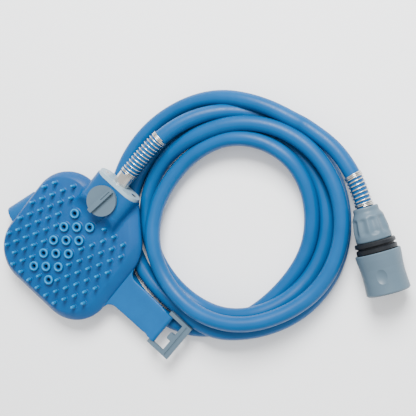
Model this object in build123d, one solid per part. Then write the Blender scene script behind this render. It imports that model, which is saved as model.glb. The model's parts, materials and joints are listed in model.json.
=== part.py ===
"""Wearable bath sprayer: silicone scrub pad on a palm housing, hose and click connector.

Millimetres. The head lies palm side down, nozzles up (+Z), its inlet towards +Y and its
buckle strap towards +X. Everything is built about the palm button's centre on the floor,
below the neck's axis, and the whole set is moved at the end so that the origin is the
bottom centre of the head.
"""
import os
from math import cos, pi, radians, sin, sqrt, tan

from build123d import *

# ---------------------------------------------------------------- driving dimensions
FIT = 0.05            # running fit between a shaft and its bore, on the radius
GAP = 0.3             # free gap between moving neighbours

PAD_HALF_X = 53.5     # half the rim's size along the straps
PAD_HALF_Y = 53.0     # half the rim's size along the neck
PAD_CENTRE = (-2.0, 0.5)
PAD_CORNER = 32.0     # corner radius of the rim
RIM_BOTTOM = 15.5     # underside of the silicone skirt
RIM_HEIGHT = 3.0      # upright edge of the skirt
FACE_INSET = 6.0      # how far the face stays inside the rim
FACE_CENTRE = (-4.5, 0.0)
FACE_Z = 28.0         # crown of the scrubbing face above the floor
DOME_RADIUS = 420.0   # the face is slightly domed
FACE_WALL = 6.0       # silicone thickness over the nozzle plate

NUB_DIAMETER = 2.7
NUB_TIP = 1.9
NUB_HEIGHT = 7.0
NUB_COLUMN = 4.85     # spacing of the nub columns, staggered by one row
NUB_ROW = 8.5
NUB_ROOT = 1.0        # how far a nub is sunk in the dome

RING_OUTER = 8.0      # silicone ring round each nozzle
RING_HOLE = 4.6
RING_HEIGHT = 3.4
RING_COLUMN = 8.6
RING_ROW = 14.4
RING_CENTRE = (-5.0, -2.1)
JET_BORE = 3.4        # bore of each rigid spigot
JET_SET_BACK = 0.8    # spigot's end below the top of its ring

PLATE_BOTTOM = 13.5   # underside of the housing, clear of the hose on the floor
PLATE_TOP = 17.5
BODY_WALL = 7.5       # how far the housing plate stays inside the rim
SEAL_HEIGHT = 1.0
SEAL_WIDTH = 4.0
CHAMBER_DEPTH = 2.0

DRUM_RADIUS = 27.0    # round boss that rests in the palm
COVER_HEIGHT = 3.0
BUTTON_RADIUS = 14.8
BUTTON_RECESS = 1.0   # button face above the floor
BUTTON_HEIGHT = 7.0
BUTTON_WALL = 2.0
BUTTON_TRAVEL = 3.0
BUTTON_WELL = 9.0     # depth of the well above the cover
PLUNGER_RADIUS = 3.0
PLUNGER_SEAL = 0.95   # section radius of its O-ring
BUTTON_COIL = 6.0     # mean radius of the button's spring
BUTTON_WIRE = 1.0
BUTTON_PITCH = 2.4

NECK_WIDTH = 41.0
NECK_TOP = 35.0
NECK_START = PAD_CENTRE[1] + PAD_HALF_Y - 15.5
NECK_END = 67.0
NECK_SLOPE = 1.1      # run of the neck's front for each millimetre of its rise
INLET_Z = 24.0
DUCT_RADIUS = 3.5
KNOB_Y = 52.4
KNOB_RADIUS = 12.5
KNOB_LIFT = 0.4       # knob's underside above the neck
KNOB_DISC = 3.2
KNOB_BAR_WIDTH = 4.0
KNOB_BAR_HEIGHT = 3.2
KNOB_REST = -9.4      # bar's angle from the inlet axis
PLUG_RADIUS = 6.0
PLUG_SEAL = 0.8

END_PLATE = 3.0
END_PLATE_WIDTH = 40.0
END_PLATE_HEIGHT = 22.4
FLANGE_RADIUS = 8.0
FLANGE_SOCKET = 7.0
INLET_SEAL = 1.0
BARB_RADIUS = 4.2
BARB_STEP = 0.5
BARB_BORE = 2.5
BARB_LENGTH = 14.0
SCREW_HEAD = 2.3
SCREW_HEAD_HEIGHT = 1.6
SCREW_SHANK = 1.25
SCREW_LENGTH = 6.0
END_SCREW_X = 14.5

HOSE_DIAMETER = 12.4
NIPPLE_RADIUS = HOSE_DIAMETER / 2
FERRULE_WALL = 0.45
FERRULE_LENGTH = 9.5
SPRING_WIRE = 1.05
SPRING_PITCH = 4.2
SPRING_BAND = 3.2     # close wound end of an anti-kink spring
HEAD_SPRING = 41.5
TAIL_SPRING = 27.0

STRAP_THICKNESS = 2.4
STRAP_Z = 17.2        # middle of both straps where they leave the pad
STRAP_Y = 1.2         # middle of the buckle strap across its width
STRAP_ROOT = 30.0     # width where it leaves the pad
STRAP_END = 27.0
STRAP_REACH = PAD_CENTRE[0] + PAD_HALF_X + 48.0    # buckle bar's distance from the neck's axis
LOOP_RADIUS = 2.9
TAIL_STRAP_WIDTH = 27.0
TAIL_STRAP_TIP = (PAD_CENTRE[0] - PAD_HALF_X - 8.5, -2.4)
TAIL_STRAP_TURN = 160.8
TAIL_STRAP_RETURN = 21.0
TAIL_SLOTS = (6.0, 13.0)
TAIL_SLOT_WIDTH = 3.0
TAIL_SLOT_LENGTH = 14.0

BUCKLE_WIDTH = 33.0
BUCKLE_ARM = 3.2
BUCKLE_THICK = 3.6
BUCKLE_LENGTH = 20.4  # from the bar to the outer edge
BUCKLE_END_BAR = 7.5
BUCKLE_BAR_RADIUS = 1.2
BUCKLE_GROOVE = 1.2
PEG_LENGTH = 4.2
PEG_WIDTH = 6.0

COIL_HEIGHT = HOSE_DIAMETER
COIL_OUTER = (82.5, 104.5, 99.0)     # x, y and radius of the turns' outer edge
COIL_INNER = (90.0, 103.5, 61.0)     # the same for their inner edge
SECOND_LAYER = (98.0, 114.0, 82.0)   # outer edge of the turns that lie on others
SECOND_TOP = 24.0
THIRD_TOP = 33.5
THIRD_FROM = -85.0
THIRD_TO = -15.0
LAYER_LAP = 1.0
CROSSING_INSET = 4.0  # third layer's edge inside the second layer's

NUT_MOUTH = (160.7, 183.0)           # where the hose enters the connector
CONNECTOR_AXIS = (0.829, -0.559)
SLEEVE_RADIUS = 17.6
NUT_LENGTH = 26.0
NUT_SMALL = 9.8
NUT_LARGE = 13.8
NUT_BELL = 11.9       # radius just behind the mouth, over the clamp ring
NUT_BORE = 10.6
NUT_SHOULDER = 8.6    # end of the mouth's cone, where the nut's bore opens out
NUT_FLUTES = 10
NUT_WALL = 1.4        # lip round the hose at the nut's mouth
GRIP_RINGS = 9.0
GRIP_RADIUS = 15.8
GRIP_GROOVE = 1.8
SLEEVE_LENGTH = 32.0
SPRING_ROOM = 12.0    # length of the sleeve's spring pocket
SHAFT_RADIUS = 11.5
SOCKET_RADIUS = 8.6
SOCKET_DEPTH = 16.0
NOSE_RADIUS = 6.6     # narrower bore behind the socket, with its O-ring
NOSE_DEPTH = 6.0
NOSE_SEAL = 0.95
WATERWAY = 3.0
SPIGOT_START = 14.0
CLAW_WIDTH = 4.6
CLAW_LENGTH = 3.0
CLAW_SETBACK = 9.5    # claws' distance from the connector's open end
CLAW_ANGLES = (90, 210, 330)

# Routes of the two stretches of hose that are not coiled, chosen to lie as they fall.
LEAD_ROUTE = [
    (0.0, 70.0, 24.0),
    (0.0, 98.0, 24.0),
    (2.5, 126.0, 23.6),
    (12.7, 152.1, 20.5),
    (31.4, 173.2, 16.5),
    (55.9, 186.0, 12.5),
]
TAIL_ROUTE = [
    (84.2, 200.6, 15.0),
    (112.2, 202.9, 16.9),
    (135.5, 197.1, 17.7),
    (154.1, 187.5, 17.7),
    (171.1, 176.0, 17.7),
]

# ---------------------------------------------------------------- derived places
BODY_HALF_X = PAD_HALF_X - BODY_WALL
BODY_HALF_Y = PAD_HALF_Y - BODY_WALL
BODY_CORNER = PAD_CORNER - BODY_WALL
FACE_HALF_X = PAD_HALF_X - FACE_INSET
FACE_HALF_Y = PAD_HALF_Y - FACE_INSET
FACE_CORNER = PAD_CORNER - FACE_INSET
RIM_TOP = RIM_BOTTOM + RIM_HEIGHT
PLATE_SEAT = PLATE_TOP + SEAL_HEIGHT           # underside of the nozzle plate
CAVITY_TOP = FACE_Z - FACE_WALL                # top of the nozzle plate
CHAMBER_FLOOR = PLATE_TOP - CHAMBER_DEPTH
CHAMBER_END = NECK_START - SEAL_WIDTH
DUCT_END = KNOB_Y - PLUG_RADIUS - DUCT_RADIUS
WELL_TOP = COVER_HEIGHT + BUTTON_WELL
HOSE_RADIUS = HOSE_DIAMETER / 2
END_FACE = NECK_END + END_PLATE
KNOB_BOTTOM = NECK_TOP + KNOB_LIFT
CONNECTOR_Z = SLEEVE_RADIUS + 0.1
SLEEVE_START = NUT_LENGTH + GRIP_RINGS
SLEEVE_END = SLEEVE_START + SLEEVE_LENGTH
SHAFT_END = SLEEVE_END - 1.0
SOCKET_FLOOR = SHAFT_END - SOCKET_DEPTH
CLAW_Z = SLEEVE_END - CLAW_SETBACK
CONNECTOR_PLANE = Plane(
    origin=(NUT_MOUTH[0], NUT_MOUTH[1], CONNECTOR_Z),
    x_dir=(0, 0, 1),
    z_dir=(CONNECTOR_AXIS[0], CONNECTOR_AXIS[1], 0),
)
BASE = (Align.CENTER, Align.CENTER, Align.MIN)
FAR = 300.0           # longer than anything that it cuts


# ---------------------------------------------------------------- small helpers
def disc(radius, height, z=0.0, x=0.0, y=0.0):
    """Upright cylinder standing at z."""
    return Pos(x, y, z) * Cylinder(radius, height, align=BASE)


def ring(outer, inner, height, z=0.0):
    """Upright tube standing at z."""
    return disc(outer, height, z) - disc(inner, height, z)


def rod(radius, start, end, z=INLET_Z, x=0.0):
    """Cylinder along +Y from start to end."""
    return Pos(x, start, z) * Rot(-90, 0, 0) * Cylinder(radius, end - start, align=BASE)


def slab(half_x, half_y, corner, bottom, top):
    """Rounded block about the pad's centre."""
    outline = RectangleRounded(2 * half_x, 2 * half_y, corner)
    return Pos(PAD_CENTRE[0], PAD_CENTRE[1], bottom) * extrude(outline, top - bottom)


def housing_slab(inset, bottom, top):
    """Block with the housing's outline, inset from its edge."""
    return slab(BODY_HALF_X - inset, BODY_HALF_Y - inset, BODY_CORNER - inset, bottom, top)


def spun(profile):
    """Solid of revolution about local Z from (radius, height) points."""
    outline = make_face(Polyline(*[(r, 0, z) for r, z in profile], close=True))
    return revolve(outline, Axis.Z)


def coil_spring(radius, wire, pitch, length):
    """Round wire helix about Z, standing at zero."""
    path = Helix(pitch, length - wire, radius)
    start = Plane(origin=path @ 0, z_dir=path % 0)
    return Pos(0, 0, wire / 2) * sweep(start * Circle(wire / 2), path, is_frenet=True)


def anti_kink_spring(length):
    """Open spring with close wound bands at both ends, about Z."""
    middle = HOSE_RADIUS + SPRING_WIRE / 2 + 0.06
    wall = SPRING_WIRE / 2 + 0.05
    lap = SPRING_BAND / 2
    spring = Pos(0, 0, lap) * coil_spring(middle, SPRING_WIRE, SPRING_PITCH, length - 2 * lap)
    for start in (0.0, length - SPRING_BAND):
        spring += ring(middle + wall, middle - wall, SPRING_BAND, start)
    return spring


def along(start, end):
    """Placement with local Z running from one point towards another."""
    direction = Vector(*end) - Vector(*start)
    return Location(Plane(origin=start, x_dir=(0, 0, 1), z_dir=direction))


def hose_path(points):
    """Straight runs joined by arcs as large as their runs allow."""
    radii = []
    for before, corner, after in zip(points, points[1:], points[2:]):
        arriving = Vector(*corner) - Vector(*before)
        leaving = Vector(*after) - Vector(*corner)
        turn = radians(arriving.get_angle(leaving))
        shorter = min(arriving.length, leaving.length)
        radii.append(0.45 * shorter / tan(turn / 2))
    print("bend radii", [round(radius) for radius in radii])
    return FilletPolyline(*points, radius=radii)


def hose_tube(points):
    """Plain round hose along a route."""
    path = hose_path(points)
    start = Plane(origin=path @ 0, z_dir=path % 0)
    solid = sweep(start * Circle(HOSE_RADIUS), path)
    expected = pi * HOSE_RADIUS ** 2 * path.length
    print("hose run", round(path.length, 1), "volume ratio", round(solid.volume / expected, 4))
    return solid


# ---------------------------------------------------------------- scrubbing pad
def ring_places():
    """Centres of the fourteen nozzles: columns of five, four and five."""
    places = []
    for column in (-1, 0, 1):
        count = 4 if column == 0 else 5
        for row in range(count):
            offset = row - (count - 1) / 2
            places.append((RING_CENTRE[0] + column * RING_COLUMN, RING_CENTRE[1] + offset * RING_ROW))
    return places


def dome_drop(x, y):
    """How far the domed face lies below its crown."""
    away = (x - FACE_CENTRE[0]) ** 2 + (y - FACE_CENTRE[1]) ** 2
    return DOME_RADIUS - sqrt(DOME_RADIUS ** 2 - away)


def inside_face(x, y):
    """True where a nub fits on the scrubbing face."""
    corner = FACE_CORNER - NUB_DIAMETER / 2
    dx = max(abs(x - FACE_CENTRE[0]) - (FACE_HALF_X - FACE_CORNER), 0.0)
    dy = max(abs(y - FACE_CENTRE[1]) - (FACE_HALF_Y - FACE_CORNER), 0.0)
    return sqrt(dx * dx + dy * dy) <= corner


def beside_nozzles(x, y):
    """True in the nozzle field, on the way from it to the neck, and by the neck."""
    in_field = abs(x - RING_CENTRE[0]) < 1.5 * RING_COLUMN and y > RING_CENTRE[1] - 2 * RING_ROW - 2.0
    room = (RING_OUTER + NUB_DIAMETER) / 2 + 1.0
    near_ring = any(sqrt((x - a) ** 2 + (y - b) ** 2) < room for a, b in ring_places())
    near_neck = abs(x) < NECK_WIDTH / 2 + NUB_DIAMETER and y > NECK_START - NUB_DIAMETER
    return in_field or near_ring or near_neck


def nub_places():
    """Centres of the scrubbing nubs, on a staggered grid about the nozzle field."""
    columns = int(PAD_HALF_X / NUB_COLUMN)
    rows = int(PAD_HALF_Y / NUB_ROW)
    places = []
    for column in range(-columns, columns + 1):
        for row in range(-rows, rows + 1):
            x = RING_CENTRE[0] + column * NUB_COLUMN
            y = row * NUB_ROW
            staggered = (column + row) % 2 == 0
            if staggered and inside_face(x, y) and not beside_nozzles(x, y):
                places.append((x, y))
    return places


def nub():
    """One tapered nub with a domed tip, its root below z = 0."""
    dome = NUB_TIP / 2
    height = NUB_HEIGHT - dome + NUB_ROOT
    stem = Cone(NUB_DIAMETER / 2, dome, height, align=BASE)
    return Pos(0, 0, -NUB_ROOT) * (stem + Pos(0, 0, height) * Sphere(dome))


def neck_outline():
    """Neck's cross section, in the XZ plane."""
    height = NECK_TOP - PLATE_BOTTOM
    outline = RectangleRounded(NECK_WIDTH, height, height * 0.42)
    middle = (NECK_TOP + PLATE_BOTTOM) / 2
    return Plane(origin=(0, NECK_END, middle), x_dir=(1, 0, 0), z_dir=(0, -1, 0)) * outline


def neck_block():
    """Neck from the pad to its end, with a sloped front."""
    block = extrude(neck_outline(), NECK_END - NECK_START)
    rise = NECK_TOP - RIM_TOP
    wedge = Plane.YZ * Polyline(
        (NECK_START - 1, FACE_Z),
        (NECK_START, FACE_Z),
        (NECK_START + (NECK_TOP - FACE_Z) * NECK_SLOPE, NECK_TOP),
        (NECK_START + (NECK_TOP - FACE_Z) * NECK_SLOPE, NECK_TOP + rise),
        (NECK_START - 1, NECK_TOP + rise),
        close=True,
    )
    return block - extrude(make_face(wedge), NECK_WIDTH, both=True)


def skirt():
    """Upright edge of the pad's silicone skirt, before it is hollowed."""
    return slab(PAD_HALF_X, PAD_HALF_Y, PAD_CORNER, RIM_BOTTOM, RIM_TOP)


def pad_blank():
    """Domed pad with no hollow, nubs or nozzle rings."""
    x, y = PAD_CENTRE
    lower = Pos(x, y, RIM_TOP) * RectangleRounded(2 * PAD_HALF_X, 2 * PAD_HALF_Y, PAD_CORNER)
    x, y = FACE_CENTRE
    upper = Pos(x, y, FACE_Z) * RectangleRounded(2 * FACE_HALF_X, 2 * FACE_HALF_Y, FACE_CORNER)
    blank = skirt() + loft([lower.face(), upper.face()])
    return blank & Pos(x, y, FACE_Z - DOME_RADIUS) * Rot(90, 0, 0) * Sphere(DOME_RADIUS)


def scrub_pad():
    """Silicone pad: skirt, domed face, nubs and nozzle rings."""
    pad = pad_blank()
    pad -= housing_slab(0, RIM_BOTTOM, CAVITY_TOP)
    pad -= neck_block()
    bumps = [Pos(x, y, FACE_Z - dome_drop(x, y)) * nub() for x, y in nub_places()]
    root = FACE_WALL / 2
    for x, y in ring_places():
        low = FACE_Z - dome_drop(x, y) - root
        bumps.append(disc(RING_OUTER / 2, RING_HEIGHT + root, low, x, y))
    pad += bumps
    bores = [disc(RING_HOLE / 2, FAR, CAVITY_TOP - 1, x, y) for x, y in ring_places()]
    return pad - bores


def buckle_strap():
    """Strap towards the buckle, ending in a loop round its bar."""
    end = STRAP_REACH
    shoulder = end - 4 * LOOP_RADIUS
    loop_width = BUCKLE_WIDTH - 2 * BUCKLE_ARM - 2 * GAP
    outline = Polyline(
        (0, -STRAP_ROOT / 2),
        (shoulder, -STRAP_END / 2),
        (shoulder + LOOP_RADIUS, -loop_width / 2),
        (end, -loop_width / 2),
        (end, loop_width / 2),
        (shoulder + LOOP_RADIUS, loop_width / 2),
        (shoulder, STRAP_END / 2),
        (0, STRAP_ROOT / 2),
        close=True,
    )
    low = STRAP_Z - STRAP_THICKNESS / 2
    band = Pos(0, 0, low) * extrude(make_face(outline), STRAP_THICKNESS)
    barrel = rod(LOOP_RADIUS, -loop_width / 2, loop_width / 2, z=STRAP_Z, x=end)
    bore = rod(BUCKLE_BAR_RADIUS + FIT, -FAR / 2, FAR / 2, z=STRAP_Z, x=end)
    return Pos(0, STRAP_Y, 0) * (band + barrel - bore) - skirt()


def tail_strap():
    """Strap on the other side, folded back under the pad, with adjusting slots."""
    fold = (STRAP_Z - STRAP_THICKNESS / 2) / 2
    middle = STRAP_THICKNESS / 2 + fold
    outer = fold + STRAP_THICKNESS / 2
    inner = fold - STRAP_THICKNESS / 2
    root = TAIL_STRAP_WIDTH
    side = Circle(outer) - Circle(inner)
    side -= Pos(-outer, 0) * Rectangle(2 * outer, 4 * outer)
    side += Pos(-root / 2, fold) * Rectangle(root, STRAP_THICKNESS)
    side += Pos(-TAIL_STRAP_RETURN / 2, -fold) * Rectangle(TAIL_STRAP_RETURN, STRAP_THICKNESS)
    turn = radians(TAIL_STRAP_TURN)
    outward = Vector(cos(turn), sin(turn), 0)
    centre = Vector(TAIL_STRAP_TIP[0], TAIL_STRAP_TIP[1], middle) - outward * outer
    upright = Plane(origin=centre, x_dir=outward, z_dir=outward.cross(Vector(0, 0, 1)))
    strap = extrude(upright * side, TAIL_STRAP_WIDTH / 2, both=True)
    for distance in TAIL_SLOTS:
        place = centre - outward * distance - Vector(0, 0, fold)
        cutter = Box(TAIL_SLOT_WIDTH, TAIL_SLOT_LENGTH, 2 * STRAP_THICKNESS)
        strap -= Location(Plane(origin=place, x_dir=outward)) * cutter
    return strap - skirt()


# ---------------------------------------------------------------- water side of the head
def nozzle_plate():
    """Rigid plate with a hollow spigot inside each silicone ring."""
    plate = housing_slab(0, PLATE_SEAT, CAVITY_TOP) - neck_block()
    tip = FACE_Z + RING_HEIGHT - JET_SET_BACK
    for x, y in ring_places():
        plate += disc(RING_HOLE / 2, tip - dome_drop(x, y) - PLATE_SEAT, PLATE_SEAT, x, y)
    bores = [disc(JET_BORE / 2, tip, PLATE_SEAT - 1, x, y) for x, y in ring_places()]
    return plate - bores


def chamber_shape(inset, bottom, top):
    """Housing outline stopped short of the neck."""
    stop = Pos(0, CHAMBER_END + FAR / 2, bottom) * Box(FAR, FAR, FAR)
    return housing_slab(inset, bottom, top) - stop


def chamber_seal():
    """Flat gasket between the housing and the nozzle plate."""
    outer = housing_slab(0, PLATE_TOP, PLATE_SEAT)
    return outer - chamber_shape(SEAL_WIDTH, PLATE_TOP, PLATE_SEAT) - neck_block()


def cover_screw_places():
    """Centres of the four screws in the palm cover."""
    reach = (DRUM_RADIUS + BUTTON_RADIUS) / 2
    return [(reach * cos(radians(a)), reach * sin(radians(a))) for a in (45, 135, 225, 315)]


def main_body():
    """Palm housing: plate, palm drum and neck with the water way and valve bores."""
    body = housing_slab(0, PLATE_BOTTOM, PLATE_TOP)
    body += disc(DRUM_RADIUS, PLATE_BOTTOM - COVER_HEIGHT + 1, COVER_HEIGHT)
    body += neck_block()
    body -= chamber_shape(SEAL_WIDTH, CHAMBER_FLOOR, PLATE_TOP)
    body -= rod(DUCT_RADIUS, DUCT_END, NECK_END)
    riser = DUCT_RADIUS - 0.5
    body -= disc(riser, INLET_Z - CHAMBER_FLOOR, CHAMBER_FLOOR, 0, DUCT_END)
    link = DUCT_END - CHAMBER_END + 1.0
    link_y = CHAMBER_END - 1.0 + link / 2
    body -= Pos(0, link_y, CHAMBER_FLOOR) * Box(2 * riser, link, CHAMBER_DEPTH - 0.4, align=BASE)
    body -= rod(FLANGE_RADIUS, NECK_END - FLANGE_SOCKET, NECK_END)
    body -= disc(PLUG_RADIUS + FIT, FAR, PLATE_TOP + GAP, 0, KNOB_Y)
    body -= disc(BUTTON_RADIUS + GAP, BUTTON_WELL, COVER_HEIGHT)
    body -= disc(PLUNGER_RADIUS + FIT, PLATE_TOP, COVER_HEIGHT)
    body -= disc(PLUNGER_RADIUS + 2 * PLUNGER_SEAL + FIT, 2 * PLUNGER_SEAL, PLATE_BOTTOM - 0.4)
    for x, y in cover_screw_places():
        body -= disc(SCREW_SHANK, SCREW_LENGTH, COVER_HEIGHT, x, y)
    for side in (-1, 1):
        body -= rod(SCREW_SHANK, NECK_END - SCREW_LENGTH, NECK_END, x=side * END_SCREW_X)
    return body


def screw():
    """Countersunk screw along Z, its flat head's face at zero and its shank upwards."""
    shank = COVER_HEIGHT - SCREW_HEAD_HEIGHT + SCREW_LENGTH - 1.0
    solid = Cone(SCREW_HEAD, SCREW_SHANK, SCREW_HEAD_HEIGHT, align=BASE)
    solid += Pos(0, 0, SCREW_HEAD_HEIGHT) * Cylinder(SCREW_SHANK, shank, align=BASE)
    slot = 1.3 * SCREW_HEAD
    return solid - (Box(slot, 0.7, 1.2) + Box(0.7, slot, 1.2))


def rear_cover():
    """Ring on the palm side that holds the button in."""
    cover = ring(DRUM_RADIUS, BUTTON_RADIUS + GAP, COVER_HEIGHT)
    for x, y in cover_screw_places():
        cover -= disc(SCREW_SHANK, COVER_HEIGHT, 0, x, y)
        cover -= Pos(x, y, 0) * Cone(SCREW_HEAD, SCREW_SHANK, SCREW_HEAD_HEIGHT, align=BASE)
    return cover


def cover_screws():
    """The four screws of the palm cover."""
    return Part() + [Pos(x, y, 0) * screw() for x, y in cover_screw_places()]


def palm_button():
    """Push button that the palm presses, hollow for its spring."""
    cap = disc(BUTTON_RADIUS, BUTTON_HEIGHT, BUTTON_RECESS)
    cap -= disc(BUTTON_RADIUS - BUTTON_WALL, BUTTON_HEIGHT, BUTTON_RECESS + BUTTON_WALL + 1.0)
    return cap - disc(PLUNGER_RADIUS, 1.0, BUTTON_RECESS + BUTTON_WALL)


def plunger():
    """Valve rod that the button carries up into the chamber floor."""
    bottom = BUTTON_RECESS + BUTTON_WALL
    top = PLATE_SEAT - BUTTON_TRAVEL - GAP
    return disc(PLUNGER_RADIUS, top - bottom, bottom)


def plunger_seal():
    """O-ring round the plunger, in the housing."""
    middle = PLATE_BOTTOM - 0.4 + PLUNGER_SEAL
    return Pos(0, 0, middle) * Torus(PLUNGER_RADIUS + FIT + PLUNGER_SEAL, PLUNGER_SEAL)


def button_spring():
    """Return spring between the button and the roof of its well."""
    low = BUTTON_RECESS + BUTTON_WALL + 1.0
    room = WELL_TOP - low
    return Pos(0, 0, low + 0.1) * coil_spring(BUTTON_COIL, BUTTON_WIRE, BUTTON_PITCH, room - 0.2)


# ---------------------------------------------------------------- flow knob and inlet
def flow_knob():
    """Round knob with a grip bar across it, turned to its rest angle."""
    top = KNOB_BOTTOM + KNOB_DISC
    grip = disc(KNOB_RADIUS, KNOB_DISC, KNOB_BOTTOM)
    bar = Pos(0, 0, top) * Box(KNOB_BAR_WIDTH, 2 * KNOB_RADIUS, KNOB_BAR_HEIGHT, align=BASE)
    bar &= disc(KNOB_RADIUS, FAR, KNOB_BOTTOM)
    mark = Pos(0, KNOB_RADIUS / 2, top + KNOB_BAR_HEIGHT) * Box(0.9, KNOB_RADIUS * 0.8, 1.2)
    return Pos(0, KNOB_Y, 0) * Rot(0, 0, KNOB_REST) * (grip + bar - mark)


def valve_plug():
    """Plug under the knob with a cross hole for the water."""
    bottom = PLATE_TOP + 2 * GAP
    plug = disc(PLUG_RADIUS, KNOB_BOTTOM - bottom, bottom)
    plug -= Pos(0, 0, INLET_Z) * Rot(90, 0, 0) * Cylinder(DUCT_RADIUS - 0.5, 4 * PLUG_RADIUS)
    groove = ring(PLUG_RADIUS + 1, PLUG_RADIUS - 2 * PLUG_SEAL, 2 * PLUG_SEAL, plug_seal_z() - PLUG_SEAL)
    return Pos(0, KNOB_Y, 0) * Rot(0, 0, KNOB_REST) * (plug - groove)


def plug_seal_z():
    """Height of the plug's O-ring."""
    return NECK_TOP - 3.0


def plug_seal():
    """O-ring in the plug's groove."""
    return Pos(0, KNOB_Y, plug_seal_z()) * Torus(PLUG_RADIUS - PLUG_SEAL, PLUG_SEAL)


def end_screw_place(side):
    """Placement of an end plate screw, head out and shank into the neck."""
    return Location(Plane(origin=(side * END_SCREW_X, END_FACE, INLET_Z), x_dir=(1, 0, 0), z_dir=(0, -1, 0)))


def end_plate():
    """Oval plate that closes the neck round the inlet."""
    outline = RectangleRounded(END_PLATE_WIDTH, END_PLATE_HEIGHT, END_PLATE_HEIGHT * 0.47)
    middle = (NECK_TOP + PLATE_BOTTOM) / 2
    face = Plane(origin=(0, NECK_END, middle), x_dir=(-1, 0, 0), z_dir=(0, 1, 0))
    plate = extrude(face * outline, END_PLATE)
    plate -= rod(NIPPLE_RADIUS, NECK_END - 1, END_FACE + 1)
    for side in (-1, 1):
        plate -= end_screw_place(side) * Cone(SCREW_HEAD, SCREW_SHANK, SCREW_HEAD_HEIGHT, align=BASE)
        plate -= end_screw_place(side) * Cylinder(SCREW_SHANK, 2 * END_PLATE, align=BASE)
    return plate


def end_screws():
    """The two screws of the end plate."""
    return Part() + [end_screw_place(side) * screw() for side in (-1, 1)]


def barbs(solid, count, pitch, start):
    """Add a row of barbs about local Z."""
    for step in range(count):
        place = Pos(0, 0, start + pitch * step)
        solid += place * Cone(BARB_RADIUS, BARB_RADIUS - BARB_STEP, 0.7 * pitch, align=BASE)
    return solid


def inlet_nipple():
    """Metal inlet: flange in the neck, barrel through the plate, barb in the hose."""
    flange = FLANGE_SOCKET - 2 * INLET_SEAL
    length = flange + END_PLATE + BARB_LENGTH
    solid = disc(FLANGE_RADIUS, flange) + disc(NIPPLE_RADIUS, flange + END_PLATE)
    solid += disc(BARB_RADIUS - BARB_STEP, length)
    solid = barbs(solid, 4, 3.2, flange + END_PLATE + 1.5)
    solid -= disc(BARB_BORE, length + 2, -1)
    return Pos(0, NECK_END - flange, INLET_Z) * Rot(-90, 0, 0) * solid


def inlet_seal():
    """O-ring between the nipple's flange and the bottom of its socket."""
    middle = NECK_END - FLANGE_SOCKET + INLET_SEAL
    return Pos(0, middle, INLET_Z) * Rot(90, 0, 0) * Torus(FLANGE_RADIUS - 2.4, INLET_SEAL)


def head_ferrule():
    """Thin steel sleeve crimped on the hose at the head."""
    place = Pos(0, END_FACE, INLET_Z) * Rot(-90, 0, 0)
    return place * ring(HOSE_RADIUS + FERRULE_WALL, HOSE_RADIUS, FERRULE_LENGTH)


def head_spring():
    """Anti-kink spring on the hose at the head."""
    place = Pos(0, END_FACE + FERRULE_LENGTH, INLET_Z) * Rot(-90, 0, 0)
    return place * anti_kink_spring(HEAD_SPRING)


# ---------------------------------------------------------------- buckle
def buckle():
    """Three sided buckle with a round bar in the strap's loop and a centre peg."""
    low = STRAP_Z - BUCKLE_THICK / 2
    top = low + BUCKLE_THICK
    outer = STRAP_REACH + BUCKLE_LENGTH
    inner = outer - BUCKLE_END_BAR
    arm_start = STRAP_REACH - BUCKLE_THICK / 2
    arm = outer - arm_start
    half = BUCKLE_WIDTH / 2
    frame = rod(BUCKLE_BAR_RADIUS, -half, half, z=STRAP_Z, x=STRAP_REACH)
    for side in (-1, 1):
        y = side * (half - BUCKLE_ARM / 2)
        frame += Pos(arm_start + arm / 2, y, low) * Box(arm, BUCKLE_ARM, BUCKLE_THICK, align=BASE)
    bar_x = outer - BUCKLE_END_BAR / 2
    frame += Pos(bar_x, 0, low) * Box(BUCKLE_END_BAR, BUCKLE_WIDTH, BUCKLE_THICK, align=BASE)
    groove = Box(BUCKLE_GROOVE, BUCKLE_WIDTH - BUCKLE_ARM, BUCKLE_GROOVE)
    frame -= Pos(inner + BUCKLE_END_BAR / 2, 0, top) * groove
    peg = Polyline(
        (inner + 0.5, -PEG_WIDTH / 2),
        (inner - PEG_LENGTH + 1, -PEG_WIDTH / 2),
        (inner - PEG_LENGTH, -PEG_WIDTH / 2 + 1),
        (inner - PEG_LENGTH, PEG_WIDTH / 2 - 1),
        (inner - PEG_LENGTH + 1, PEG_WIDTH / 2),
        (inner + 0.5, PEG_WIDTH / 2),
        close=True,
    )
    return Pos(0, STRAP_Y, 0) * (frame + Pos(0, 0, low) * extrude(make_face(peg), BUCKLE_THICK))


# ---------------------------------------------------------------- hose
def layer(circle, bottom, top):
    """Flat ring from an outer circle to the turns' inner edge."""
    x, y, radius = circle
    hole_x, hole_y, hole = COIL_INNER
    return disc(radius, top - bottom, bottom, x, y) - disc(hole, top - bottom, bottom, hole_x, hole_y)


def hose_coil():
    """Outer shape of the loose turns: one deep under the head, up to three elsewhere."""
    coil = layer(COIL_OUTER, 0.0, COIL_HEIGHT)
    coil += layer(SECOND_LAYER, COIL_HEIGHT - LAYER_LAP, SECOND_TOP)
    x, y, radius = SECOND_LAYER
    crossing = layer((x, y, radius - CROSSING_INSET), SECOND_TOP - LAYER_LAP, THIRD_TOP)
    corners = [(x, y)]
    for angle in (THIRD_FROM, THIRD_TO):
        corners.append((x + FAR * cos(radians(angle)), y + FAR * sin(radians(angle))))
    wedge = make_face(Polyline(*corners, close=True))
    return coil + (crossing & extrude(wedge, THIRD_TOP))


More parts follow.
